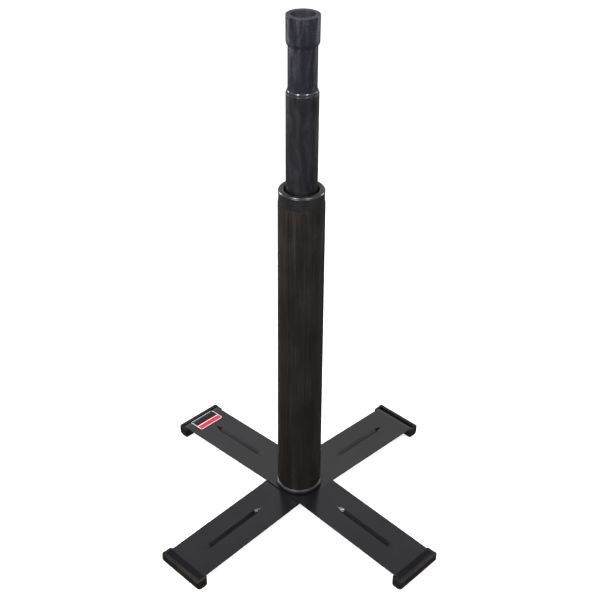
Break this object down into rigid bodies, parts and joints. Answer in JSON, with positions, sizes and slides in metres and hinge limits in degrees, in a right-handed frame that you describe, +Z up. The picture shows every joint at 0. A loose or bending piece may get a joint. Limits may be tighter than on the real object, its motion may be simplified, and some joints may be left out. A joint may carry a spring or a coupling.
{
  "type": "batting tee",
  "caption": "Free-standing batting tee: crossed steel strip base with rubber feet, telescoping round upright and a rubber ball cup on top.",
  "frame": {"origin": "on the floor, on the axis of the upright, midway between the four feet", "axes": "+Z up along the upright; the upper base strip runs along X, the lower one along Y, and the label is on the -X arm"},
  "size_m": [0.5136, 0.5136, 0.8055],
  "materials": {
    "strip_coat": "satin powder coat",
    "foot_rubber": "matte moulded",
    "socket_plastic": "satin moulded",
    "zinc_steel": "zinc plated",
    "tube_plastic": "semi-gloss moulded",
    "collar_plastic": "satin moulded",
    "grip_rubber": "matte",
    "mid_tube_plastic": "satin, rubbery",
    "bush_plastic": "plain moulded",
    "lip_rubber": "satin",
    "top_rubber": "satin moulded",
    "label_film": "printed film"
  },
  "bodies": {
    "root": {"upper_base_strip": "strip_coat", "lower_base_strip": "strip_coat", "foot_front_right": "foot_rubber", "foot_rear_right": "foot_rubber", "foot_rear_left": "foot_rubber", "foot_front_left": "foot_rubber", "base_socket": "socket_plastic", "bolt_washer": "zinc_steel", "centre_bolt": "zinc_steel", "centre_nut": "zinc_steel", "hub_screws": "zinc_steel", "lower_tube": "tube_plastic", "collar": "collar_plastic", "tube_grip_ring": "grip_rubber", "arm_label": "label_film"},
    "mid_stage": {"mid_tube": "mid_tube_plastic", "mid_guide_bush": "bush_plastic", "neck_grip_bush": "lip_rubber"},
    "tee_stage": {"tee_top": "top_rubber", "neck_stop_bush": "bush_plastic"}
  },
  "joints": [
    {"name": "mid_height", "type": "slide", "parent": "root", "child": "mid_stage", "axis": [0, 0, 1], "range_m": [-0.129, 0.189]},
    {"name": "top_height", "type": "slide", "parent": "mid_stage", "child": "tee_stage", "axis": [0, 0, 1], "range_m": [-0.057, 0.055]}
  ]
}
